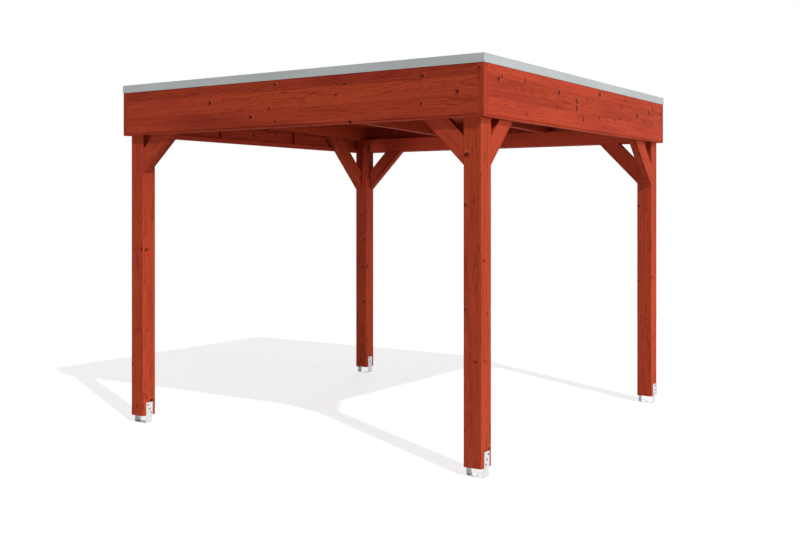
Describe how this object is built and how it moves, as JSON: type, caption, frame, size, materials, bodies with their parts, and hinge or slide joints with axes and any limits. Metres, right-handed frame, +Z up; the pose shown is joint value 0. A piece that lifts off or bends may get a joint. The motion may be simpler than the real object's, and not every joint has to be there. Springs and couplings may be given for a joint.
{
  "type": "wooden gazebo",
  "caption": "Open square gazebo of red stained timber: posts with knee braces on steel anchors carry a flat roof behind a deep board fascia with a grey edge trim.",
  "frame": {"origin": "on the ground, under the centre of the gazebo", "axes": "+X to the right along the front, +Y from the front to the back, the way the roof falls, +Z up"},
  "size_m": [3.006, 3.006, 2.4609],
  "materials": {
    "stained_timber": "planed spruce posts, beams, rafters and braces with a translucent red stain, knots and grain showing, low sheen",
    "stained_boards": "profiled spruce fascia boards with the same red stain, horizontal grain, knots, low sheen",
    "deck_boards": "tongued roof boards with the same red stain, seen from below",
    "galvanised_steel": "bent strap steel, hot-dip galvanised, matt with a faint spangle",
    "edge_trim": "folded aluminium angle, matt light grey",
    "roof_membrane": "matt dark roofing membrane"
  },
  "bodies": {
    "root": {"left_front_post": "stained_timber", "right_front_post": "stained_timber", "left_back_post": "stained_timber", "right_back_post": "stained_timber", "left_front_anchor": "galvanised_steel", "right_front_anchor": "galvanised_steel", "left_back_anchor": "galvanised_steel", "right_back_anchor": "galvanised_steel", "front_beam": "stained_timber", "back_beam": "stained_timber", "left_edge_rafter": "stained_timber", "left_rafter": "stained_timber", "right_rafter": "stained_timber", "right_edge_rafter": "stained_timber", "left_front_beam_brace": "stained_timber", "right_front_beam_brace": "stained_timber", "left_back_beam_brace": "stained_timber", "right_back_beam_brace": "stained_timber", "left_front_side_brace": "stained_timber", "right_front_side_brace": "stained_timber", "left_back_side_brace": "stained_timber", "right_back_side_brace": "stained_timber", "roof_deck": "deck_boards", "roof_membrane": "roof_membrane", "front_fascia": "stained_boards", "back_fascia": "stained_boards", "left_fascia": "stained_boards", "right_fascia": "stained_boards", "front_battens": "stained_timber", "back_battens": "stained_timber", "left_battens": "stained_timber", "right_battens": "stained_timber", "front_rail": "stained_timber", "back_rail": "stained_timber", "left_rail": "stained_timber", "right_rail": "stained_timber", "front_trim": "edge_trim", "back_trim": "edge_trim", "left_trim": "edge_trim", "right_trim": "edge_trim", "left_front_corner_strip": "stained_boards", "right_front_corner_strip": "stained_boards", "left_back_corner_strip": "stained_boards", "right_back_corner_strip": "stained_boards"}
  },
  "joints": []
}
